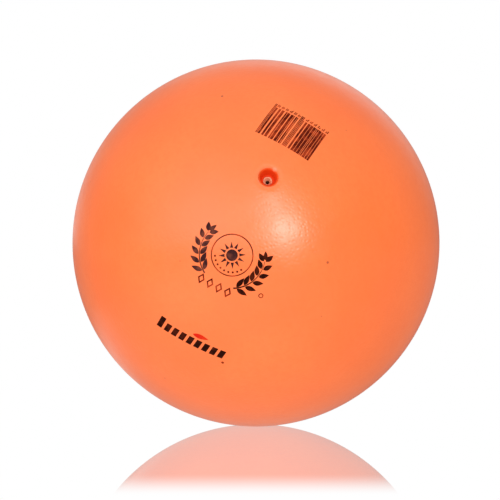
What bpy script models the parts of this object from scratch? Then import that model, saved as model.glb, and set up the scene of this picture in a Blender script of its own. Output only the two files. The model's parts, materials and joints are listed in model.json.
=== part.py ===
"""Inflatable PVC play ball with a needle valve.

The ball is three pieces: a one-piece hollow skin, a moulded valve seat that fills the bore in
the skin's inner boss, and a rubber valve core pressed through the seat. All three are turned
about the valve axis, which points out of the ball's front and a little upwards, and they are
hung on one empty at the ball's centre.

Units are metres, +Z is up, and the origin is the centre of the ball.
"""

import math

import bmesh
import bpy

# Ball
BALL_RADIUS = 0.0925
SKIN_THICKNESS = 0.0032
VALVE_RISE = math.radians(20.0)         # the valve axis above the horizontal, towards -Y

# Clearance between pieces that touch on the real ball
GAP = 0.0003

# Skin round the valve: depths are measured inwards from the ball's outer radius
DIMPLE_RADIUS = 0.0074
DIMPLE_DEPTH = 0.00018
BORE_RADIUS = 0.00475
BOSS_RADIUS = 0.0085
BOSS_DEPTH = 0.0090
BOSS_FILLET = 0.0020

# Valve seat: a plug with a tapered recess outside and a flange inside the ball
SEAT_RADIUS = BORE_RADIUS - GAP
MOUTH_RADIUS = 0.0042
RECESS_DEPTH = 0.0052
RECESS_FLOOR_RADIUS = 0.0030
FLANGE_RADIUS = 0.0070
FLANGE_THICKNESS = 0.0015
FLANGE_EDGE = 0.0004

# Valve core: a stem whose flat face surrounds a funnel into the needle hole, and a bulb inside
STEM_RADIUS = 0.0022
FACE_EDGE = 0.0002
FACE_STANDS_PROUD = 0.0002
FUNNEL_RADIUS = 0.00165
FUNNEL_DEPTH = 0.0022
NEEDLE_RADIUS = 0.0008
NEEDLE_DEPTH = 0.0094
BULB_RADIUS = 0.0036
BULB_LENGTH = 0.0052

# Fineness
SKIN_STEPS = 56                         # round the valve axis
SKIN_ARC_STEPS = 27                     # from the bore to the far pole
SMALL_STEPS = 32
DIMPLE_STEPS = 3
FILLET_STEPS = 3
LIP_STEPS = 3
NOSE_STEPS = 5
SHARP_ANGLE = math.radians(35.0)

FLANGE_TOP_DEPTH = BOSS_DEPTH + GAP
FLANGE_END_DEPTH = FLANGE_TOP_DEPTH + FLANGE_THICKNESS
FACE_DEPTH = RECESS_DEPTH - FACE_STANDS_PROUD


def clear_scene():
    for item in list(bpy.data.objects):
        bpy.data.objects.remove(item, do_unlink=True)


def plastic(name, colour, roughness):
    """A plain Principled material with one colour and one roughness."""
    material = bpy.data.materials.new(name)
    material.use_nodes = True
    shader = material.node_tree.nodes["Principled BSDF"]
    shader.inputs["Base Color"].default_value = (*colour, 1.0)
    shader.inputs["Roughness"].default_value = roughness
    shader.inputs["Metallic"].default_value = 0.0
    return material


def arc(centre_r, centre_z, radius, start, end, steps):
    """Points (r, z) on an arc; angles are in radians from the +r direction."""
    points = []
    for step in range(steps + 1):
        angle = start + (end - start) * step / steps
        points.append((centre_r + radius * math.cos(angle), centre_z + radius * math.sin(angle)))
    return points


def height(depth):
    """Height along the valve axis of a point at this depth below the ball's outer radius."""
    return BALL_RADIUS - depth


def sphere_height(radius, r):
    """Height of a sphere about the origin at the distance r from the axis."""
    return math.sqrt(radius ** 2 - r ** 2)


def turned(name, profile, steps, material):
    """Turn a closed (r, z) profile about Z. The profile runs up its outer side."""
    mesh = bmesh.new()
    rings = []
    for r, z in profile:
        if r == 0.0:
            rings.append([mesh.verts.new((0.0, 0.0, z))] * steps)
            continue
        ring = []
        for step in range(steps):
            turn = 2.0 * math.pi * step / steps
            ring.append(mesh.verts.new((r * math.cos(turn), r * math.sin(turn), z)))
        rings.append(ring)
    closed_on_axis = profile[0][0] == 0.0 and profile[-1][0] == 0.0
    pairs = list(zip(rings, rings[1:]))
    if not closed_on_axis:
        pairs.append((rings[-1], rings[0]))
    for lower, upper in pairs:
        for step in range(steps):
            after = (step + 1) % steps
            corners = [lower[step], lower[after], upper[after], upper[step]]
            mesh.faces.new(dict.fromkeys(corners))
    data = bpy.data.meshes.new(name)
    mesh.to_mesh(data)
    mesh.free()
    data.materials.append(material)
    data.shade_smooth()
    data.set_sharp_from_angle(angle=SHARP_ANGLE)
    item = bpy.data.objects.new(name, data)
    bpy.context.collection.objects.link(item)
    return item


def ball_skin_profile():
    """Far pole, outer sphere, dimple, bore, boss with its fillet, and the inner sphere back."""
    inner_radius = BALL_RADIUS - SKIN_THICKNESS
    dimple_angle = math.acos(DIMPLE_RADIUS / BALL_RADIUS)
    outer = arc(0.0, 0.0, BALL_RADIUS, -math.pi / 2.0, dimple_angle, SKIN_ARC_STEPS)
    outer[0] = (0.0, -BALL_RADIUS)

    dimple = []
    for step in range(1, DIMPLE_STEPS + 1):
        part = step / DIMPLE_STEPS
        r = DIMPLE_RADIUS + (BORE_RADIUS - DIMPLE_RADIUS) * part
        sink = DIMPLE_DEPTH * (1.0 - math.cos(math.pi * part)) / 2.0
        dimple.append((r, sphere_height(BALL_RADIUS, r) - sink))

    boss_end = height(BOSS_DEPTH)
    boss = [(BORE_RADIUS, boss_end), (BOSS_RADIUS, boss_end)]
    fillet_r = BOSS_RADIUS + BOSS_FILLET
    fillet_z = sphere_height(inner_radius, fillet_r) - BOSS_FILLET
    fillet = arc(fillet_r, fillet_z, BOSS_FILLET, math.pi, math.pi / 2.0, FILLET_STEPS)

    inner_start = math.acos(fillet_r / inner_radius)
    inner = arc(0.0, 0.0, inner_radius, inner_start, -math.pi / 2.0, SKIN_ARC_STEPS)
    inner[-1] = (0.0, -inner_radius)
    return outer + dimple + boss + fillet[:-1] + inner


def valve_seat_profile():
    """Up the outside from the flange, over the lip, and down the recess to the stem's bore."""
    stem_bore = STEM_RADIUS + GAP
    flange_end = height(FLANGE_END_DEPTH)
    flange_top = height(FLANGE_TOP_DEPTH)
    rim = sphere_height(BALL_RADIUS, SEAT_RADIUS) - DIMPLE_DEPTH
    flange = [
        (stem_bore, flange_end),
        (FLANGE_RADIUS - FLANGE_EDGE, flange_end),
        (FLANGE_RADIUS, flange_end + FLANGE_EDGE),
        (FLANGE_RADIUS, flange_top),
        (SEAT_RADIUS, flange_top),
    ]
    lip_radius = SEAT_RADIUS - MOUTH_RADIUS
    lip = arc(SEAT_RADIUS, rim - lip_radius, lip_radius, math.pi / 2.0, math.pi, LIP_STEPS)
    floor = height(RECESS_DEPTH)
    recess = [(RECESS_FLOOR_RADIUS, floor + FLANGE_EDGE), (RECESS_FLOOR_RADIUS - FLANGE_EDGE, floor)]
    return flange + lip + recess + [(stem_bore, floor)]


def valve_core_profile():
    """Bulb, stem and face, then the funnel and the blind needle hole down to its end."""
    bulb_top = height(FLANGE_END_DEPTH + GAP)
    bulb_end = bulb_top - BULB_LENGTH
    face = height(FACE_DEPTH)
    bulb_nose = arc(0.0, bulb_end + BULB_RADIUS, BULB_RADIUS, -math.pi / 2.0, 0.0, NOSE_STEPS)
    bulb_nose[0] = (0.0, bulb_end)
    stem = [
        (BULB_RADIUS, bulb_top),
        (STEM_RADIUS, bulb_top),
        (STEM_RADIUS, face - FACE_EDGE),
        (STEM_RADIUS - FACE_EDGE, face),
    ]
    needle_hole = [
        (FUNNEL_RADIUS, face),
        (NEEDLE_RADIUS, face - FUNNEL_DEPTH),
        (NEEDLE_RADIUS, face - NEEDLE_DEPTH),
        (0.0, face - NEEDLE_DEPTH - NEEDLE_RADIUS),
    ]
    return bulb_nose + stem + needle_hole


def build():
    clear_scene()
    centre = bpy.data.objects.new("ball_centre", None)
    bpy.context.collection.objects.link(centre)
    centre.rotation_euler = (math.pi / 2.0 - VALVE_RISE, 0.0, 0.0)

    orange = plastic("orange_pvc", (0.95, 0.16, 0.026), 0.32)
    red_orange = plastic("red_orange_pvc", (0.75, 0.05, 0.004), 0.5)
    cream = plastic("cream_rubber", (0.81, 0.30, 0.17), 0.6)

    pieces = [
        turned("ball_skin", ball_skin_profile(), SKIN_STEPS, orange),
        turned("valve_seat", valve_seat_profile(), SMALL_STEPS, red_orange),
        turned("valve_core", valve_core_profile(), SMALL_STEPS, cream),
    ]
    for piece in pieces:
        piece.parent = centre


build()
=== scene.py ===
"""Looks of the inflatable play ball: fine skin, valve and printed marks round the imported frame."""

import json
import math
import random

import bmesh
import bpy
from mathutils import Matrix, Vector


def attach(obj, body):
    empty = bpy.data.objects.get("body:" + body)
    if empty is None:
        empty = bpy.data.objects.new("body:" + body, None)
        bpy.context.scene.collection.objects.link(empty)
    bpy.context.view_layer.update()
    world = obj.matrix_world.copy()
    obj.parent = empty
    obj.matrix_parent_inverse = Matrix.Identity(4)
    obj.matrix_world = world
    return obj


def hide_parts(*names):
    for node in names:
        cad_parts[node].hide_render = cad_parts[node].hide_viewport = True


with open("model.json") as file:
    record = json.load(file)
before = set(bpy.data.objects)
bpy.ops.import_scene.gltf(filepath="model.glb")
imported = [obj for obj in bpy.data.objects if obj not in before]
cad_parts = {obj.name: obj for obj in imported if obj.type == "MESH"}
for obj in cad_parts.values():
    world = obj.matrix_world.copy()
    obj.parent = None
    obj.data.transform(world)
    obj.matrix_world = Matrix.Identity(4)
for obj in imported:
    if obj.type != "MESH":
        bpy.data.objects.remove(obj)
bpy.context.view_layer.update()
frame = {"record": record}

MM = 0.001

# The ball and its valve axis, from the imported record's mounts
MOUNTS = {mount["name"]: mount for mount in frame["record"]["mounts"]}
BALL_RADIUS = -MOUNTS["floor_contact"]["pos_m"][2]
VALVE_AXIS = Vector(MOUNTS["valve_face"]["axis"]).normalized()
FACE_HEIGHT = Vector(MOUNTS["valve_face"]["pos_m"]).dot(VALVE_AXIS)
FLOOR_HEIGHT = -BALL_RADIUS

# The three pieces have the CAD's sizes with rounder edges. They meet at seams of 0.1 mm, where
# the CAD leaves gaps of 0.3 mm, and that moves a surface by up to 0.4 mm.
SEAM = 0.10 * MM

# Skin
SKIN_THICKNESS = 3.2 * MM
DIMPLE_RADIUS = 7.4 * MM
DIMPLE_DEPTH = 0.18 * MM
BORE_RADIUS = 4.65 * MM
BORE_EDGE = 0.15 * MM
BOSS_RADIUS = 8.5 * MM
BOSS_DEPTH = 9.0 * MM
BOSS_EDGE = 0.4 * MM
BOSS_FILLET = 2.0 * MM

# Valve seat
SEAT_RADIUS = BORE_RADIUS - SEAM
SEAT_EDGE = 0.14 * MM
MOUTH_RADIUS = 4.15 * MM
MOUTH_DROP = 0.02 * MM
MOUTH_LIP = 0.38 * MM
FACE_STANDS_PROUD = 0.2 * MM
RECESS_FLOOR = FACE_HEIGHT - FACE_STANDS_PROUD
RECESS_FLOOR_RADIUS = 2.9 * MM
RECESS_FILLET = 0.7 * MM
STEM_BORE_EDGE = 0.05 * MM
FLANGE_RADIUS = 7.0 * MM
FLANGE_THICKNESS = 1.5 * MM
FLANGE_EDGE = 0.4 * MM

# Valve core
STEM_RADIUS = 2.1 * MM
STEM_EDGE = 0.30 * MM
FUNNEL_RADIUS = 1.65 * MM
FUNNEL_DEPTH = 2.2 * MM
FUNNEL_EDGE = 0.18 * MM
NEEDLE_RADIUS = 0.8 * MM
NEEDLE_DEPTH = 9.4 * MM
NEEDLE_EDGE = 0.30 * MM
BULB_RADIUS = 3.6 * MM
BULB_LENGTH = 5.2 * MM
BULB_NOSE = 0.95 * BULB_RADIUS
BULB_EDGE = 0.5 * MM

# Fineness of the turned pieces
SKIN_STEPS = 240
OUTER_ARC_STEPS = 120
INNER_ARC_STEPS = 40
DIMPLE_STEPS = 12
CORNER_STEPS = 5
SMALL_STEPS = 96
SHARP_ANGLE = math.radians(40.0)
ON_AXIS = 1e-7                          # a point nearer the axis than this lies on it

# The printed marks lie near one great circle through the valve. It leaves the valve at this
# angle to +X, seen from outside the ball.
LAYOUT_TURN = math.radians(-115.6)

# A mark is a film of ink, from below the skin's surface to above it, cut into square cells. The
# outlines of marks, and the cells, are in millimetres on the ball.
FILM_PROUD = 0.04 * MM
FILM_SUNK = 0.04 * MM
FILM_CELL = 1.5
SAME_POINT = 1e-5                       # points nearer each other than this are one point

# Centres and turns of the printed marks, as layout_place takes them
CODE_PLACE = (-27.4, 0.2, -6.3)
EMBLEM_PLACE = (40.1, -0.2, -4.0)
SMALL_RING_PLACE = (52.3, 19.3, -4.0)
STRIPES_PLACE = (87.8, -3.5, -2.0)

# Product code: seeded bars of whole modules, which encode nothing
CODE_SEED = 11
CODE_MODULES = 95
CODE_MODULE = 0.305
CODE_LEFT = -CODE_MODULES * CODE_MODULE / 2.0
CODE_TOP = 9.4

# Two larger dirt specks on the skin, as (along, across) from the valve in millimetres
LARGE_SPECKS = ((24.6, 42.1), (-38.2, -39.3))

# Where a pale highlight is painted on the recess's upper lip, as (right, up, out) in the valve's frame
LIP_HIGHLIGHT_PLACE = (3.0 * MM, 3.8 * MM, BALL_RADIUS - 0.2 * MM)

# Camera: a long lens at ten radii, nearly level, a little to the left of the valve
CAMERA_DISTANCE = 10.0 * BALL_RADIUS
CAMERA_AZIMUTH = math.radians(-3.76)
CAMERA_RISE = math.radians(0.9)
CAMERA_LENS = 131.5
CAMERA_SHIFT = (-0.012, -0.014)

# Light that the ball gets from the studio's walls and floor, which look white themselves, and
# the part of it that is kept in reflections
WALL_LIGHT = 0.21
WALL_KEPT = 0.25
FLOOR_LIGHT = 0.96
FLOOR_KEPT = 0.28

# Glows of the walls: degrees to the right of the camera and above its axis, how narrow, strength,
# part kept in reflections, and reach (0 ends a glow square to its direction, 1 opposite to it)
GLOWS = (
    (-30.4, 3.0, 5.3, 2.04, 0.74, 0.0),
    (-18.6, 62.0, 2.0, 0.74, 0.85, 1.0),
    (-150.0, 12.0, 8.0, 0.85, 0.12, 0.0),
    (150.0, 0.0, 8.0, 3.00, 0.02, 0.0),
    (-157.0, -6.0, 30.0, 0.80, 1.0, 0.0),
    (160.0, 22.0, 30.0, 0.60, 1.0, 0.0),
    (180.0, 26.0, 30.0, 0.50, 1.0, 0.0),
)

# Brighter spots of the floor: x, y and reach in ball radii from under the ball, strength, and
# part kept in reflections
LIT_SPOTS = (
    (-1.2, -2.5, 3.4, 0.42, 1.0),
    (0.0, 0.0, 1.0, 0.12, 1.0),
    (-1.3, 1.0, 1.5, 0.50, 1.0),
    (1.9, 0.6, 1.8, 0.60, 0.0),
)

# Round lamps: name, degrees to the right of the camera and above its axis, half angle that they
# fill as seen from the ball, in degrees, and radiance
SOFTBOXES = (
    ("key_low", 16.6, 7.2, 8.0, 11.9),
    ("key_high", 10.6, 22.6, 6.0, 6.6),
)
SOFTBOX_DISTANCE = 14.0 * BALL_RADIUS

# Floor: a square, 12 m a side, whose middle mirrors the ball and fades to plain white
FLOOR_HALF = 6.0
MIRROR_SHARE = 0.675
MIRROR_FADE_START = 1.84 * BALL_RADIUS
MIRROR_FADE_END = 2.50 * BALL_RADIUS

# Colours of the skin
SKIN_DEEP = (0.895, 0.151, 0.0250)
SKIN_LIGHT = (0.920, 0.171, 0.0315)
SKIN_MOTTLE = (0.88, 0.142, 0.022)
SKIN_SPECK = (0.25, 0.035, 0.010)
SKIN_SCUFF = (0.86, 0.19, 0.050)
# Painted shade: a darker ring round the valve's mouth
SKIN_MOUTH_SHADE = (0.80, 0.085, 0.015)
# Painted highlight: a pale patch on the recess's upper lip, on the skin and the seat alike
LIP_HIGHLIGHT_PALE = (0.92, 0.235, 0.120)

# Colours of the valve
# Painted shade: the seat's colour deep in the recess, darker than at its lip
SEAT_DEEP_SHADE = (0.74, 0.046, 0.0030)
SEAT_LIP = (0.79, 0.085, 0.0100)
SEAT_DUST = (0.70, 0.085, 0.02)
CORE_PALE = (0.82, 0.44, 0.27)
CORE_STAIN = (0.82, 0.34, 0.18)
# Painted shade on the lower side of the core's face
CORE_LOW_SHADE = (0.50, 0.07, 0.02)
# Painted shade in the needle hole and just round its edge
CORE_HOLE_SHADE = (0.13, 0.018, 0.008)

# Inks: name, colour, colour where it is worn, and how far it has thinned there
DARK_INK = ("dark_ink", (0.018, 0.0032, 0.0014), (0.20, 0.026, 0.008), 0.22)
FADED_INK = ("faded_ink", (0.036, 0.0110, 0.0115), (0.24, 0.060, 0.034), 0.50)
WORN_INK = ("worn_ink", (0.090, 0.008, 0.003), (0.42, 0.050, 0.014), 0.75)
RED_INK = ("red_ink", (0.58, 0.014, 0.006), (0.66, 0.055, 0.010), 0.6)


# ---------------------------------------------------------------- turned pieces

def ball_frame(out, right):
    """Rotation whose columns are the directions right, up and out."""
    return Matrix((right, out.cross(right), out)).transposed()


VALVE_FRAME = ball_frame(VALVE_AXIS, Vector((1.0, 0.0, 0.0)))


def arc(radius, start, end, steps):
    """Outline points (r, z) on a circle about the ball's centre, angles from the valve axis."""
    points = []
    for step in range(steps + 1):
        angle = start + (end - start) * step / steps
        points.append(Vector((radius * math.sin(angle), radius * math.cos(angle))))
    return points


def rounded(corners):
    """Outline points through (r, z, reach) corners, each rounded off that far along its sides."""
    points = []
    for index, (r, z, reach) in enumerate(corners):
        corner = Vector((r, z))
        if reach == 0.0:
            points.append(corner)
            continue
        before = Vector(corners[index - 1][:2])
        after = Vector(corners[(index + 1) % len(corners)][:2])
        start = corner + (before - corner).normalized() * reach
        end = corner + (after - corner).normalized() * reach
        for step in range(CORNER_STEPS + 1):
            part = step / CORNER_STEPS
            bend = start.lerp(corner, part).lerp(corner.lerp(end, part), part)
            points.append(bend)
    return points


def sphere_height(radius, r):
    """Height of a sphere about the ball's centre at the distance r from the valve axis."""
    return math.sqrt(radius ** 2 - r ** 2)


def link_mesh(name, mesh, material):
    """Make an object of a bmesh, smooth but for its sharp edges, riding on the CAD's one body."""
    data = bpy.data.meshes.new(name)
    mesh.to_mesh(data)
    mesh.free()
    data.materials.append(material)
    data.shade_smooth()
    data.set_sharp_from_angle(angle=SHARP_ANGLE)
    piece = bpy.data.objects.new(name, data)
    bpy.context.collection.objects.link(piece)
    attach(piece, "root")
    return piece


def turned(name, outline, steps, material):
    """Turn an outline that runs up its outer side about the valve axis."""
    mesh = bmesh.new()
    rings = []
    for r, z in outline:
        if r < ON_AXIS:
            rings.append([mesh.verts.new(VALVE_FRAME @ Vector((0.0, 0.0, z)))] * steps)
            continue
        ring = []
        for step in range(steps):
            turn = 2.0 * math.pi * step / steps
            place = Vector((r * math.cos(turn), r * math.sin(turn), z))
            ring.append(mesh.verts.new(VALVE_FRAME @ place))
        rings.append(ring)
    pairs = list(zip(rings, rings[1:]))
    if outline[0][0] > ON_AXIS:
        pairs.append((rings[-1], rings[0]))
    for lower, upper in pairs:
        for step in range(steps):
            after = (step + 1) % steps
            corners = [lower[step], lower[after], upper[after], upper[step]]
            mesh.faces.new(dict.fromkeys(corners))
    return link_mesh(name, mesh, material)


def skin_outline():
    """Outer sphere from the far pole, dimple, bore, boss and inner sphere back to the pole."""
    inner_radius = BALL_RADIUS - SKIN_THICKNESS
    dimple_angle = math.asin(DIMPLE_RADIUS / BALL_RADIUS)
    outer = arc(BALL_RADIUS, math.pi, dimple_angle, OUTER_ARC_STEPS)

    dimple = []
    bore_mouth = BORE_RADIUS + BORE_EDGE
    for step in range(1, DIMPLE_STEPS + 1):
        part = step / DIMPLE_STEPS
        r = DIMPLE_RADIUS + (bore_mouth - DIMPLE_RADIUS) * part
        sink = DIMPLE_DEPTH * (1.0 - math.cos(math.pi * part)) / 2.0
        dimple.append(Vector((r, sphere_height(BALL_RADIUS, r) - sink)))

    lip = dimple[-1].y
    boss_end = BALL_RADIUS - BOSS_DEPTH
    fillet_r = BOSS_RADIUS + BOSS_FILLET
    fillet_z = sphere_height(inner_radius, fillet_r)
    bore_and_boss = rounded([
        (bore_mouth, lip, 0.0),
        (BORE_RADIUS, lip, 0.9 * BORE_EDGE),
        (BORE_RADIUS, boss_end, 0.0),
        (BOSS_RADIUS, boss_end, BOSS_EDGE),
        (BOSS_RADIUS, fillet_z, BOSS_FILLET),
        (fillet_r, fillet_z, 0.0),
    ])
    inner = arc(inner_radius, math.asin(fillet_r / inner_radius), math.pi, INNER_ARC_STEPS)
    # Its first point ends the dimple, and its last two both start the inner sphere.
    return outer + dimple + bore_and_boss[1:-2] + inner


def seat_outline():
    """Stem bore, flange, outside wall, lip, tapered recess and its floor."""
    stem_bore = STEM_RADIUS + SEAM
    flange_top = BALL_RADIUS - BOSS_DEPTH - SEAM
    flange_end = flange_top - FLANGE_THICKNESS
    rim = sphere_height(BALL_RADIUS, SEAT_RADIUS) - DIMPLE_DEPTH
    return rounded([
        (stem_bore, flange_end, 0.0),
        (FLANGE_RADIUS, flange_end, FLANGE_EDGE),
        (FLANGE_RADIUS, flange_top, 0.0),
        (SEAT_RADIUS, flange_top, 0.0),
        (SEAT_RADIUS, rim, SEAT_EDGE),
        (MOUTH_RADIUS, rim - MOUTH_DROP, MOUTH_LIP),
        (RECESS_FLOOR_RADIUS, RECESS_FLOOR, RECESS_FILLET),
        (stem_bore, RECESS_FLOOR, STEM_BORE_EDGE),
    ])


def core_outline():
    """Bulb, stem, flat face, and the funnel into the blind needle hole."""
    bulb_top = BALL_RADIUS - BOSS_DEPTH - FLANGE_THICKNESS - 2.0 * SEAM
    bulb_end = bulb_top - BULB_LENGTH
    hole_end = FACE_HEIGHT - NEEDLE_DEPTH
    return rounded([
        (0.0, bulb_end, 0.0),
        (BULB_RADIUS, bulb_end, BULB_NOSE),
        (BULB_RADIUS, bulb_top, BULB_EDGE),
        (STEM_RADIUS, bulb_top, 0.0),
        (STEM_RADIUS, FACE_HEIGHT, STEM_EDGE),
        (FUNNEL_RADIUS, FACE_HEIGHT, FUNNEL_EDGE),
        (NEEDLE_RADIUS, FACE_HEIGHT - FUNNEL_DEPTH, NEEDLE_EDGE),
        (NEEDLE_RADIUS, hole_end, 0.0),
        (0.0, hole_end - NEEDLE_RADIUS, 0.0),
    ])


# ---------------------------------------------------------------- printed marks

def layout_place(along, across, turn=0.0):
    """Directions right, up and out of a mark, as columns.

    along runs in millimetres from the valve towards the emblem, across to its right, and turn
    is anticlockwise in degrees, seen from outside.
    """
    axis_x, axis_y, out = VALVE_FRAME.col[0], VALVE_FRAME.col[1], VALVE_FRAME.col[2]
    down = (axis_x * math.cos(LAYOUT_TURN) + axis_y * math.sin(LAYOUT_TURN)).normalized()
    right = out.cross(down)
    to_along = Matrix.Rotation(along * MM / BALL_RADIUS, 3, right)
    to_across = Matrix.Rotation(across * MM / BALL_RADIUS, 3, -(to_along @ down))
    place = to_across @ to_along @ ball_frame(out, right)
    return place @ Matrix.Rotation(math.radians(turn), 3, "Z")


def on_ball(place, x, y, radius):
    """The point x to the right of and y above a mark's centre, in millimetres on the sphere."""
    reach = math.hypot(x, y)
    if reach == 0.0:
        return place @ Vector((0.0, 0.0, radius))
    angle = reach * MM / BALL_RADIUS
    side = math.sin(angle) / reach
    return place @ (Vector((x * side, y * side, math.cos(angle))) * radius)


def cut_into_cells(mesh):
    """Cut a flat mesh along a square grid, so that its cells can follow the ball."""
    for axis, normal in ((0, Vector((1.0, 0.0, 0.0))), (1, Vector((0.0, 1.0, 0.0)))):
        values = [vertex.co[axis] for vertex in mesh.verts]
        first = math.floor(min(values) / FILM_CELL) + 1
        last = math.ceil(max(values) / FILM_CELL)
        for line in range(first, last):
            everything = mesh.verts[:] + mesh.edges[:] + mesh.faces[:]
            point = normal * (line * FILM_CELL)
            bmesh.ops.bisect_plane(mesh, geom=everything, dist=SAME_POINT, plane_co=point, plane_no=normal)


def film(name, outlines, place, material):
    """A thin closed film of ink on the skin. Outlines are lists of flat (x, y) in millimetres."""
    mesh = bmesh.new()
    for outline in outlines:
        mesh.faces.new([mesh.verts.new((x, y, 0.0)) for x, y in outline])
    bmesh.ops.remove_doubles(mesh, verts=mesh.verts[:], dist=SAME_POINT)
    mesh.normal_update()
    bmesh.ops.triangulate(mesh, faces=mesh.faces[:])
    cut_into_cells(mesh)
    bmesh.ops.triangulate(mesh, faces=mesh.faces[:])
    low = BALL_RADIUS - FILM_SUNK
    high = BALL_RADIUS + FILM_PROUD
    for vertex in mesh.verts:
        vertex.co = on_ball(place, vertex.co.x, vertex.co.y, low)
    grown = bmesh.ops.extrude_face_region(mesh, geom=mesh.faces[:])
    for item in grown["geom"]:
        if isinstance(item, bmesh.types.BMVert):
            item.co *= high / low
    bmesh.ops.recalc_face_normals(mesh, faces=mesh.faces[:])
    piece = link_mesh(name, mesh, material)


def box_outline(x0, y0, x1, y1, slant=0.0):
    """A rectangle; slant moves its top to the right."""
    return [(x0, y0), (x1, y0), (x1 + slant, y1), (x0 + slant, y1)]


def round_outline(x, y, radius, steps=24):
    """A circle about (x, y), as a loop of points."""
    turns = [2.0 * math.pi * step / steps for step in range(steps)]
    return [(x + radius * math.cos(turn), y + radius * math.sin(turn)) for turn in turns]


def band_outlines(outer, inner):
    """Four-sided outlines that fill the band between two loops with the same number of points."""
    count = len(outer)
    return [[outer[i], outer[(i + 1) % count], inner[(i + 1) % count], inner[i]] for i in range(count)]


def ring_outlines(radius, width, steps=72):
    """A band of this width whose middle is a circle about the mark's centre."""
    outer = round_outline(0.0, 0.0, radius + width / 2.0, steps)
    inner = round_outline(0.0, 0.0, radius - width / 2.0, steps)
    return band_outlines(outer, inner)


def leaf_outline(x, y, length, width, turn, steps=8):
    """A pointed leaf whose stalk end is at (x, y) and whose tip points along turn."""
    fullness = 0.8                      # under 1, so that it is widest nearer its stalk
    parts = [step / steps for step in range(steps + 1)]
    half = [width / 2.0 * math.sin(math.pi * part ** fullness) for part in parts]
    right = [(part * length, -side) for part, side in zip(parts, half)]
    left = [(part * length, side) for part, side in zip(parts, half)]
    loop = right + left[-2:0:-1]
    cos, sin = math.cos(turn), math.sin(turn)
    return [(x + px * cos - py * sin, y + px * sin + py * cos) for px, py in loop]


def arc_outlines(radius, width, start, end, steps=18):
    """Four-sided outlines along an arc that tapers to a quarter of its width at its end."""
    taper = 0.75
    outlines = []
    for step in range(steps):
        corners = []
        for index, sign in ((step, -1.0), (step, 1.0), (step + 1, 1.0), (step + 1, -1.0)):
            part = index / steps
            turn = start + (end - start) * part
            reach = radius + sign * width / 2.0 * (1.0 - taper * part)
            corners.append((reach * math.cos(turn), reach * math.sin(turn)))
        outlines.append(corners)
    return outlines


def code_bars(rng):
    """Bars of seeded widths between plain guard bars, which reach higher."""
    guards = (range(0, 4), range(45, 51), range(91, CODE_MODULES))
    guard_height = 2.4
    bar_widths = (1, 2, 2, 3, 4)
    gap_widths = (1, 1, 1, 2, 3)
    ink_spread = 0.10
    outlines = []
    spot = 0
    while spot < CODE_MODULES:
        is_guard = any(spot in span for span in guards)
        wide = 1 if is_guard else rng.choice(bar_widths)
        wide = min(wide, CODE_MODULES - spot)
        top = CODE_TOP + (guard_height if is_guard else 0.0)
        x0 = CODE_LEFT + spot * CODE_MODULE
        outlines.append(box_outline(x0, -CODE_TOP, x0 + wide * CODE_MODULE + ink_spread, top))
        spot += wide + (1 if is_guard else rng.choice(gap_widths))
    return outlines


def code_ticks(rng):
    """Pairs of short slanted ticks of seeded heights, in a row above the bars."""
    pairs = 13
    pair_step = 2.17
    pair_gap = 0.75
    width, slant = 0.45, 0.2
    shortest, tallest = 0.9, 1.9
    first = CODE_LEFT + 1.4
    base = CODE_TOP + 0.8
    outlines = []
    for index in range(pairs):
        for shift in (0.0, pair_gap):
            x0 = first + index * pair_step + shift
            tall = rng.uniform(shortest, tallest)
            outlines.append(box_outline(x0, base, x0 + width, base + tall, slant))
    return outlines


def code_marks(ink):
    """Bars, and a row of ticks beyond their far end, in place of a product code."""
    place = layout_place(*CODE_PLACE)
    rng = random.Random(CODE_SEED)
    film("print_code_bars", code_bars(rng), place, ink)
    film("print_code_ticks", code_ticks(rng), place, ink)


def sprig_outlines(side):
    """A leaf sprig that curves up beside the ring; side is -1 on its left and 1 on its right."""
    radius = 15.3
    stem_width = 0.7
    stem_tail = 0.10
    low = math.radians(-55.0)
    high = math.radians(17.0)
    pairs = 6
    offset = 0.45                       # of a leaf's stalk end from the stem's middle
    lean = 0.72                         # of a leaf away from the stem, in radians
    longest = 5.6
    shorter_by = 0.25                   # from each pair of leaves to the next
    leaf_width = 2.3
    outlines = arc_outlines(radius, stem_width, low - stem_tail, high)
    for index in range(pairs):
        turn = low + (high - low) * index / (pairs - 1)
        heading = turn + math.pi / 2.0
        length = longest - shorter_by * index
        for sign in (1.0, -1.0):
            start = radius + sign * offset
            x, y = start * math.cos(turn), start * math.sin(turn)
            outlines.append(leaf_outline(x, y, length, leaf_width, heading - sign * lean))

    tip_length, tip_width, tip_lean, tip_lift = 4.2, 1.9, 0.15, 0.6
    tip_x, tip_y = radius * math.cos(high), radius * math.sin(high) + tip_lift
    outlines.append(leaf_outline(tip_x, tip_y, tip_length, tip_width, high + math.pi / 2.0 + tip_lean))
    if side < 0.0:
        outlines = [[(-x, y) for x, y in reversed(outline)] for outline in outlines]
    return outlines


def sun_outlines():
    """A plain sun: a disc, a gap and a circle of pointed rays."""
    disc = 2.7
    rays = 12
    inner, outer, width = 3.4, 6.3, 1.5
    outlines = [round_outline(0.0, 0.0, disc)]
    for ray in range(rays):
        turn = 2.0 * math.pi * ray / rays
        cos, sin = math.cos(turn), math.sin(turn)
        corners = ((inner, -width / 2.0), (outer, 0.0), (inner, width / 2.0))
        outlines.append([(x * cos - y * sin, x * sin + y * cos) for x, y in corners])
    return outlines


def dot_outlines():
    """A row of dots that follows the inside of the ring's lower half."""
    count, first, apart = 9, 210.0, 15.0
    reach = 7.9
    outlines = []
    for index in range(count):
        turn = math.radians(first + apart * index)
        x, y = reach * math.cos(turn), reach * math.sin(turn)
        outlines.append(round_outline(x, y, radius=0.5, steps=10))
    return outlines


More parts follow.
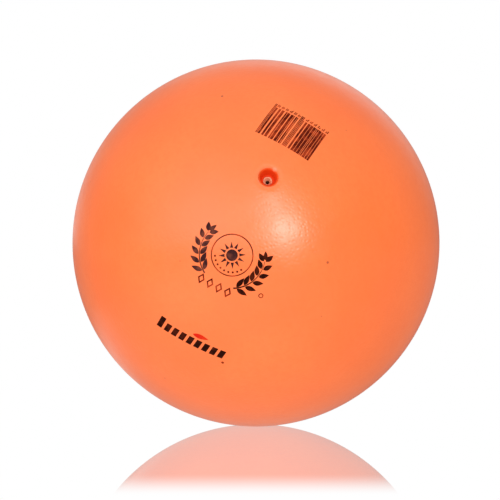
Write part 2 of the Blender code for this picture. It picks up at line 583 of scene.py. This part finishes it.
def diamond_outlines():
    """A row of four upright open diamonds below the ring."""
    count, first, apart, y = 4, -7.8, 4.6, -16.4
    half_width, half_height = 1.75, 2.7
    hole = 0.55                         # the hole's size as a share of the diamond's
    outlines = []
    for index in range(count):
        x = first + apart * index
        outer = [(x, y - half_height), (x + half_width, y), (x, y + half_height), (x - half_width, y)]
        inner = [(x + (px - x) * hole, y + (py - y) * hole) for px, py in outer]
        outlines += band_outlines(outer, inner)
    return outlines


def emblem_marks(ink, faded_ink, worn_ink):
    """A thin ring with a plain sun and dots, between two leaf sprigs, over four diamonds."""
    place = layout_place(*EMBLEM_PLACE)
    film("print_ring", ring_outlines(radius=9.6, width=0.5), place, worn_ink)
    film("print_sun", sun_outlines(), place, faded_ink)
    film("print_ring_dots", dot_outlines(), place, worn_ink)
    film("print_sprig_left", sprig_outlines(-1.0), place, faded_ink)
    film("print_sprig_right", sprig_outlines(1.0), place, ink)
    film("print_diamonds", diamond_outlines(), place, worn_ink)
    small_ring = ring_outlines(radius=0.95, width=0.4, steps=24)
    film("print_small_ring", small_ring, layout_place(*SMALL_RING_PLACE), worn_ink)


def stripe_outlines():
    """A row of slanted stripes, of which the first stands taller."""
    count, first, apart = 9, -17.6, 4.0
    width, base, slant = 2.7, -2.6, 0.8
    first_height, height = 6.4, 4.6
    outlines = []
    for index in range(count):
        x0 = first + apart * index
        top = base + (first_height if index == 0 else height)
        outlines.append(box_outline(x0, base, x0 + width, top, slant))
    return outlines


def stripe_marks(ink, worn_ink, red):
    """A row of slanted stripes with a plain red dash over its middle and a dot at its end."""
    place = layout_place(*STRIPES_PLACE)
    film("print_stripes", stripe_outlines(), place, ink)
    dash = leaf_outline(x=0.2, y=3.9, length=7.8, width=2.5, turn=math.radians(5.0))
    film("print_red_dash", [dash], place, red)
    dot = round_outline(x=18.2, y=-4.8, radius=0.65)
    film("print_small_dot", [dot], place, worn_ink)


# ---------------------------------------------------------------- materials

class Nodes:
    """Short calls for building a node tree. Texture scales are in features per metre."""

    def __init__(self, tree, coordinates="Object"):
        self.tree = tree
        self.coordinates = tree.nodes.new("ShaderNodeTexCoord").outputs[coordinates]

    def link(self, source, target):
        self.tree.links.new(source, target)

    def noise(self, scale, detail=2.0, roughness=0.5):
        node = self.tree.nodes.new("ShaderNodeTexNoise")
        self.link(self.coordinates, node.inputs["Vector"])
        node.inputs["Scale"].default_value = scale
        node.inputs["Detail"].default_value = detail
        node.inputs["Roughness"].default_value = roughness
        return node.outputs["Fac"]

    def cells(self, scale):
        node = self.tree.nodes.new("ShaderNodeTexVoronoi")
        self.link(self.coordinates, node.inputs["Vector"])
        node.inputs["Scale"].default_value = scale
        return node

    def band(self, value, low, high, to_low=0.0, to_high=1.0, smooth=True):
        node = self.tree.nodes.new("ShaderNodeMapRange")
        node.interpolation_type = "SMOOTHSTEP" if smooth else "LINEAR"
        self.link(value, node.inputs["Value"])
        node.inputs["From Min"].default_value = low
        node.inputs["From Max"].default_value = high
        node.inputs["To Min"].default_value = to_low
        node.inputs["To Max"].default_value = to_high
        return node.outputs["Result"]

    def maths(self, operation, first, second):
        node = self.tree.nodes.new("ShaderNodeMath")
        node.operation = operation
        for socket, value in zip(node.inputs, (first, second)):
            if isinstance(value, float):
                socket.default_value = value
            else:
                self.link(value, socket)
        return node.outputs["Value"]

    def vector(self, operation, first, second=None, output="Vector"):
        node = self.tree.nodes.new("ShaderNodeVectorMath")
        node.operation = operation
        for socket, value in zip(node.inputs, (first, second)):
            if isinstance(value, Vector):
                socket.default_value = value
            elif value is not None:
                self.link(value, socket)
        return node.outputs[output]

    def mix(self, share, first, second):
        """A colour between two; each is an (r, g, b) or the output of another node."""
        node = self.tree.nodes.new("ShaderNodeMix")
        node.data_type = "RGBA"
        self.link(share, node.inputs["Factor"])
        sockets = [socket for socket in node.inputs if socket.type == "RGBA"]
        for socket, colour in zip(sockets, (first, second)):
            if isinstance(colour, tuple):
                socket.default_value = (*colour, 1.0)
            else:
                self.link(colour, socket)
        return [socket for socket in node.outputs if socket.type == "RGBA"][0]

    def bump(self, height, distance, normal=None):
        node = self.tree.nodes.new("ShaderNodeBump")
        node.inputs["Strength"].default_value = 1.0
        node.inputs["Distance"].default_value = distance
        self.link(height, node.inputs["Height"])
        if normal is not None:
            self.link(normal, node.inputs["Normal"])
        return node.outputs["Normal"]


def new_material(name):
    """A material, short calls for its tree, and its Principled shader's inputs."""
    material = bpy.data.materials.new(name)
    material.use_nodes = True
    shader = material.node_tree.nodes["Principled BSDF"]
    return material, Nodes(material.node_tree), shader.inputs


def skin_grain(nodes):
    """The moulded skin's surface: slow unevenness under a grain of shallow pits."""
    slow = nodes.bump(nodes.noise(90.0), distance=0.13 * MM)
    pits = nodes.band(nodes.cells(560.0).outputs["Distance"], low=0.05, high=0.55)
    grain = nodes.maths("ADD", pits, nodes.noise(480.0))
    return nodes.bump(grain, distance=0.032 * MM, normal=slow)


def skin_specks(nodes):
    """Share of dirt: two larger specks at their places, and tiny ones here and there."""
    cells = nodes.cells(110.0)
    near = nodes.band(cells.outputs["Distance"], low=0.025, high=0.055, to_low=0.45, to_high=0.0)
    rarity = 0.72
    chosen = nodes.maths("GREATER_THAN", cells.outputs["Color"], rarity)
    specks = nodes.maths("MULTIPLY", near, chosen)
    for along, across in LARGE_SPECKS:
        place = on_ball(layout_place(along, across), 0.0, 0.0, BALL_RADIUS)
        reach = nodes.vector("DISTANCE", nodes.coordinates, place, "Value")
        speck = nodes.band(reach, low=0.35 * MM, high=0.85 * MM, to_low=0.75, to_high=0.0)
        specks = nodes.maths("MAXIMUM", specks, speck)
    return specks


def painted_lip_highlight(nodes):
    """Share of a pale painted highlight on a patch of the recess's upper lip."""
    place = VALVE_FRAME @ Vector(LIP_HIGHLIGHT_PLACE)
    reach = nodes.vector("DISTANCE", nodes.coordinates, place, "Value")
    return nodes.band(reach, low=0.3 * MM, high=1.6 * MM, to_low=0.80, to_high=0.0)


def painted_mouth_shade(nodes):
    """Share of painted shade: a darker ring on the skin just round the valve's mouth."""
    mouth = VALVE_AXIS * BALL_RADIUS
    reach = nodes.vector("DISTANCE", nodes.coordinates, mouth, "Value")
    ring_end = BORE_RADIUS + 1.6 * MM
    return nodes.band(reach, low=BORE_RADIUS, high=ring_end, to_low=0.30, to_high=0.0)


def skin_material():
    """Soft orange PVC: slow colour drift, fine mottle, rare specks and dull scuffs, with painted shade
    round the valve's mouth and a painted highlight on its lip.
    """
    material, nodes, shader = new_material("skin_pvc")
    drift = nodes.band(nodes.noise(22.0, detail=3.0), low=0.3, high=0.7)
    base = nodes.mix(drift, SKIN_DEEP, SKIN_LIGHT)
    mottle = nodes.band(nodes.noise(420.0, detail=3.0), low=0.35, high=0.75, to_high=0.45)
    base = nodes.mix(mottle, base, SKIN_MOTTLE)
    base = nodes.mix(skin_specks(nodes), base, SKIN_SPECK)
    scuff_noise = nodes.noise(46.0, detail=6.0, roughness=0.7)
    scuffs = nodes.band(scuff_noise, low=0.66, high=0.76, to_high=0.35)
    base = nodes.mix(scuffs, base, SKIN_SCUFF)
    # Painted shade: a darker ring round the valve's mouth
    base = nodes.mix(painted_mouth_shade(nodes), base, SKIN_MOUTH_SHADE)
    # Painted highlight on a patch of the recess's upper lip
    base = nodes.mix(painted_lip_highlight(nodes), base, LIP_HIGHLIGHT_PALE)
    nodes.link(base, shader["Base Color"])
    gloss_noise = nodes.noise(160.0, detail=3.0)
    roughness = nodes.band(gloss_noise, low=0.3, high=0.7, to_low=0.28, to_high=0.33)
    scuff_dullness = 0.25
    roughness = nodes.maths("ADD", roughness, nodes.maths("MULTIPLY", scuffs, scuff_dullness))
    nodes.link(roughness, shader["Roughness"])
    shader["Specular IOR Level"].default_value = 0.7
    nodes.link(skin_grain(nodes), shader["Normal"])
    return material


def seat_material():
    """Red-orange PVC, painted darker deeper in the recess as shade, with dust on it and a painted
    highlight on a patch of the upper lip.
    """
    material, nodes, shader = new_material("seat_pvc")
    height = nodes.vector("DOT_PRODUCT", nodes.coordinates, VALVE_AXIS, "Value")
    # Painted shade: the seat darkens deeper in the recess and pales towards its lip
    mouth = nodes.band(height, low=BALL_RADIUS - 1.3 * MM, high=BALL_RADIUS - 0.1 * MM)
    base = nodes.mix(mouth, SEAT_DEEP_SHADE, SEAT_LIP)
    dust_noise = nodes.noise(1400.0, detail=4.0, roughness=0.65)
    dust = nodes.band(dust_noise, low=0.58, high=0.75, to_high=0.25)
    base = nodes.mix(dust, base, SEAT_DUST)
    # Painted highlight on a patch of the recess's upper lip
    base = nodes.mix(painted_lip_highlight(nodes), base, LIP_HIGHLIGHT_PALE)
    nodes.link(base, shader["Base Color"])
    shader["Specular IOR Level"].default_value = 0.15
    roughness = nodes.band(nodes.noise(700.0), low=0.3, high=0.7, to_low=0.45, to_high=0.60)
    nodes.link(roughness, shader["Roughness"])
    grain = nodes.bump(nodes.noise(1800.0, detail=3.0), distance=0.02 * MM)
    nodes.link(grain, shader["Normal"])
    return material


def core_material():
    """Pale rubber, stained orange by the seat, with painted shade low on its face and in its hole."""
    material, nodes, shader = new_material("core_rubber")
    stain = nodes.band(nodes.noise(900.0, detail=3.0), low=0.35, high=0.7)
    base = nodes.mix(stain, CORE_PALE, CORE_STAIN)
    from_axis = nodes.vector("CROSS_PRODUCT", nodes.coordinates, VALVE_AXIS)
    reach = nodes.vector("LENGTH", from_axis, output="Value")
    # Painted shade: a dark colour in the needle hole and just round it
    hole_start = NEEDLE_RADIUS - 0.05 * MM
    hole_end = NEEDLE_RADIUS + 0.15 * MM
    hole_shade = nodes.band(reach, low=hole_start, high=hole_end, to_low=1.0, to_high=0.0)
    # Painted shade: the face darkens towards its lower side
    up = nodes.vector("DOT_PRODUCT", nodes.coordinates, VALVE_FRAME.col[1], "Value")
    lower_shade = nodes.band(up, low=-2.0 * MM, high=-0.3 * MM, to_low=0.85, to_high=0.0)
    base = nodes.mix(lower_shade, base, CORE_LOW_SHADE)
    base = nodes.mix(hole_shade, base, CORE_HOLE_SHADE)
    nodes.link(base, shader["Base Color"])
    roughness = nodes.band(nodes.noise(1200.0), low=0.3, high=0.7, to_low=0.5, to_high=0.7)
    nodes.link(roughness, shader["Roughness"])
    grain = nodes.bump(nodes.noise(2500.0, detail=3.0), distance=0.02 * MM)
    nodes.link(grain, shader["Normal"])
    return material


def ink_material(name, colour, worn_colour, wear):
    """Printed ink with the skin's grain; wear is how far it has thinned where it is worn most."""
    material, nodes, shader = new_material(name)
    spot_noise = nodes.noise(1300.0, detail=4.0, roughness=0.7)
    spots = nodes.band(spot_noise, low=0.60, high=0.74, to_high=0.5)
    patches = nodes.band(nodes.noise(210.0, detail=3.0), low=0.42, high=0.66, to_high=wear)
    worn = nodes.maths("MAXIMUM", spots, patches)
    nodes.link(nodes.mix(worn, colour, worn_colour), shader["Base Color"])
    shader["Specular IOR Level"].default_value = 0.02
    roughness = nodes.band(worn, low=0.0, high=1.0, to_low=0.40, to_high=0.5)
    nodes.link(roughness, shader["Roughness"])
    nodes.link(skin_grain(nodes), shader["Normal"])
    return material


# ---------------------------------------------------------------- stage, light and camera

def plainly_seen(nodes):
    """1 where the camera sees the stage itself or in the floor's mirror, and 0 for its light."""
    path = nodes.tree.nodes.new("ShaderNodeLightPath")
    return nodes.maths("MAXIMUM", path.outputs["Is Camera Ray"], path.outputs["Is Singular Ray"])


def white_or(nodes, seen, light):
    """Strength 1 where the stage is plainly seen, and its own light's strength elsewhere."""
    unseen = nodes.maths("SUBTRACT", 1.0, seen)
    return nodes.maths("ADD", seen, nodes.maths("MULTIPLY", unseen, light))


def polarised(nodes, light, kept):
    """Studio light of which only a part is kept in reflections, as through a polarising filter."""
    path = nodes.tree.nodes.new("ShaderNodeLightPath")
    share = nodes.band(path.outputs["Is Glossy Ray"], low=0.0, high=1.0, to_low=1.0, to_high=kept)
    return nodes.maths("MULTIPLY", share, light)


def floor():
    """A white studio floor that mirrors the ball near it and fades to plain white."""
    mesh = bmesh.new()
    corners = box_outline(-FLOOR_HALF, -FLOOR_HALF, FLOOR_HALF, FLOOR_HALF)
    mesh.faces.new([mesh.verts.new((x, y, FLOOR_HEIGHT)) for x, y in corners])
    data = bpy.data.meshes.new("floor")
    mesh.to_mesh(data)
    mesh.free()
    data.materials.append(floor_material())
    item = bpy.data.objects.new("floor", data)
    item.rotation_euler.z = CAMERA_AZIMUTH
    bpy.context.collection.objects.link(item)


def floor_material():
    """Plain white to the camera, with a square mirror that fades out and the floor's own light."""
    material, nodes, _ = new_material("floor_white")
    seen = plainly_seen(nodes)
    split = nodes.tree.nodes.new("ShaderNodeSeparateXYZ")
    nodes.link(nodes.vector("ABSOLUTE", nodes.coordinates), split.inputs["Vector"])
    far = nodes.maths("MAXIMUM", split.outputs["X"], split.outputs["Y"])
    fading = nodes.band(far, MIRROR_FADE_START, MIRROR_FADE_END, to_low=MIRROR_SHARE, to_high=0.0)
    mirror_share = nodes.maths("MULTIPLY", fading, seen)
    light = polarised(nodes, FLOOR_LIGHT, FLOOR_KEPT)
    for x, y, reach, strength, kept in LIT_SPOTS:
        spot = Vector((x * BALL_RADIUS, y * BALL_RADIUS, FLOOR_HEIGHT))
        away = nodes.vector("DISTANCE", nodes.coordinates, spot, "Value")
        extra = nodes.band(away, low=0.0, high=reach * BALL_RADIUS, to_low=strength, to_high=0.0)
        light = nodes.maths("ADD", light, polarised(nodes, extra, kept))
    white = nodes.tree.nodes.new("ShaderNodeEmission")
    nodes.link(white_or(nodes, seen, light), white.inputs["Strength"])
    mirror = nodes.tree.nodes.new("ShaderNodeBsdfGlossy")
    mirror.inputs["Color"].default_value = (1.0, 1.0, 1.0, 1.0)
    mirror.inputs["Roughness"].default_value = 0.0
    mixer = nodes.tree.nodes.new("ShaderNodeMixShader")
    nodes.link(mirror_share, mixer.inputs["Fac"])
    nodes.link(white.outputs["Emission"], mixer.inputs[1])
    nodes.link(mirror.outputs["BSDF"], mixer.inputs[2])
    nodes.link(mixer.outputs["Shader"], nodes.tree.nodes["Material Output"].inputs["Surface"])
    material.cycles.emission_sampling = "NONE"
    return material


def direction(azimuth, rise):
    """Unit vector from the ball, in degrees to the right of the camera and above its axis."""
    azimuth = math.radians(azimuth) + CAMERA_AZIMUTH
    rise = math.radians(rise) + CAMERA_RISE
    flat = math.cos(rise)
    return Vector((math.sin(azimuth) * flat, -math.cos(azimuth) * flat, math.sin(rise)))


def glow(nodes, azimuth, rise, narrowness, strength, kept, reach):
    """Light of the studio's walls that is strongest in one direction and falls off around it."""
    facing = nodes.vector("DOT_PRODUCT", nodes.coordinates, direction(azimuth, rise), "Value")
    share = nodes.band(facing, low=-reach, high=1.0, smooth=False)
    light = nodes.maths("MULTIPLY", nodes.maths("POWER", share, narrowness), strength)
    return polarised(nodes, light, kept)


def studio_world():
    """A white studio: dim walls, broad glows at the left, above and behind, three narrow ones."""
    world = bpy.data.worlds.new("studio")
    world.use_nodes = True
    nodes = Nodes(world.node_tree, "Generated")
    light = polarised(nodes, WALL_LIGHT, WALL_KEPT)
    for values in GLOWS:
        light = nodes.maths("ADD", light, glow(nodes, *values))
    background = nodes.tree.nodes["Background"]
    background.inputs["Color"].default_value = (1.0, 1.0, 1.0, 1.0)
    nodes.link(white_or(nodes, plainly_seen(nodes), light), background.inputs["Strength"])
    world.cycles.sampling_method = "NONE"
    bpy.context.scene.world = world


def softbox(name, azimuth, rise, spread, radiance):
    """A round lamp turned to the ball; spread is its half angle there in degrees."""
    radius = SOFTBOX_DISTANCE * math.tan(math.radians(spread))
    lamp = bpy.data.lights.new(name, "AREA")
    lamp.shape = "DISK"
    lamp.size = 2.0 * radius
    lamp.energy = radiance * (math.pi * radius) ** 2
    item = bpy.data.objects.new(name, lamp)
    away = direction(azimuth, rise)
    item.location = away * SOFTBOX_DISTANCE
    item.rotation_mode = "QUATERNION"
    item.rotation_quaternion = away.to_track_quat("Z", "Y")
    item.visible_camera = False
    bpy.context.collection.objects.link(item)


def studio_lights():
    for values in SOFTBOXES:
        softbox(*values)


def camera():
    """The scene's camera, aimed at the ball's centre and then shifted."""
    data = bpy.data.cameras.new("camera")
    data.lens = CAMERA_LENS
    data.shift_x, data.shift_y = CAMERA_SHIFT
    item = bpy.data.objects.new("camera", data)
    away = direction(0.0, 0.0)
    item.location = away * CAMERA_DISTANCE
    item.rotation_mode = "QUATERNION"
    item.rotation_quaternion = away.to_track_quat("Z", "Y")
    bpy.context.collection.objects.link(item)
    bpy.context.scene.camera = item


# ---------------------------------------------------------------- the scene

def ball():
    """The fine skin, seat and core, in place of the CAD's."""
    skin = turned("ball_skin_fine", skin_outline(), SKIN_STEPS, skin_material())
    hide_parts("ball_skin")
    seat = turned("valve_seat_fine", seat_outline(), SMALL_STEPS, seat_material())
    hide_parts("valve_seat")
    core = turned("valve_core_fine", core_outline(), SMALL_STEPS, core_material())
    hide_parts("valve_core")


def marks():
    """The printed marks, in inks that are worn to different degrees."""
    ink = ink_material(*DARK_INK)
    faded_ink = ink_material(*FADED_INK)
    worn_ink = ink_material(*WORN_INK)
    red = ink_material(*RED_INK)
    code_marks(worn_ink)
    emblem_marks(ink, faded_ink, worn_ink)
    stripe_marks(ink, worn_ink, red)


ball()
marks()
floor()
studio_world()
studio_lights()
camera()
bpy.context.scene.view_settings.view_transform = "Standard"
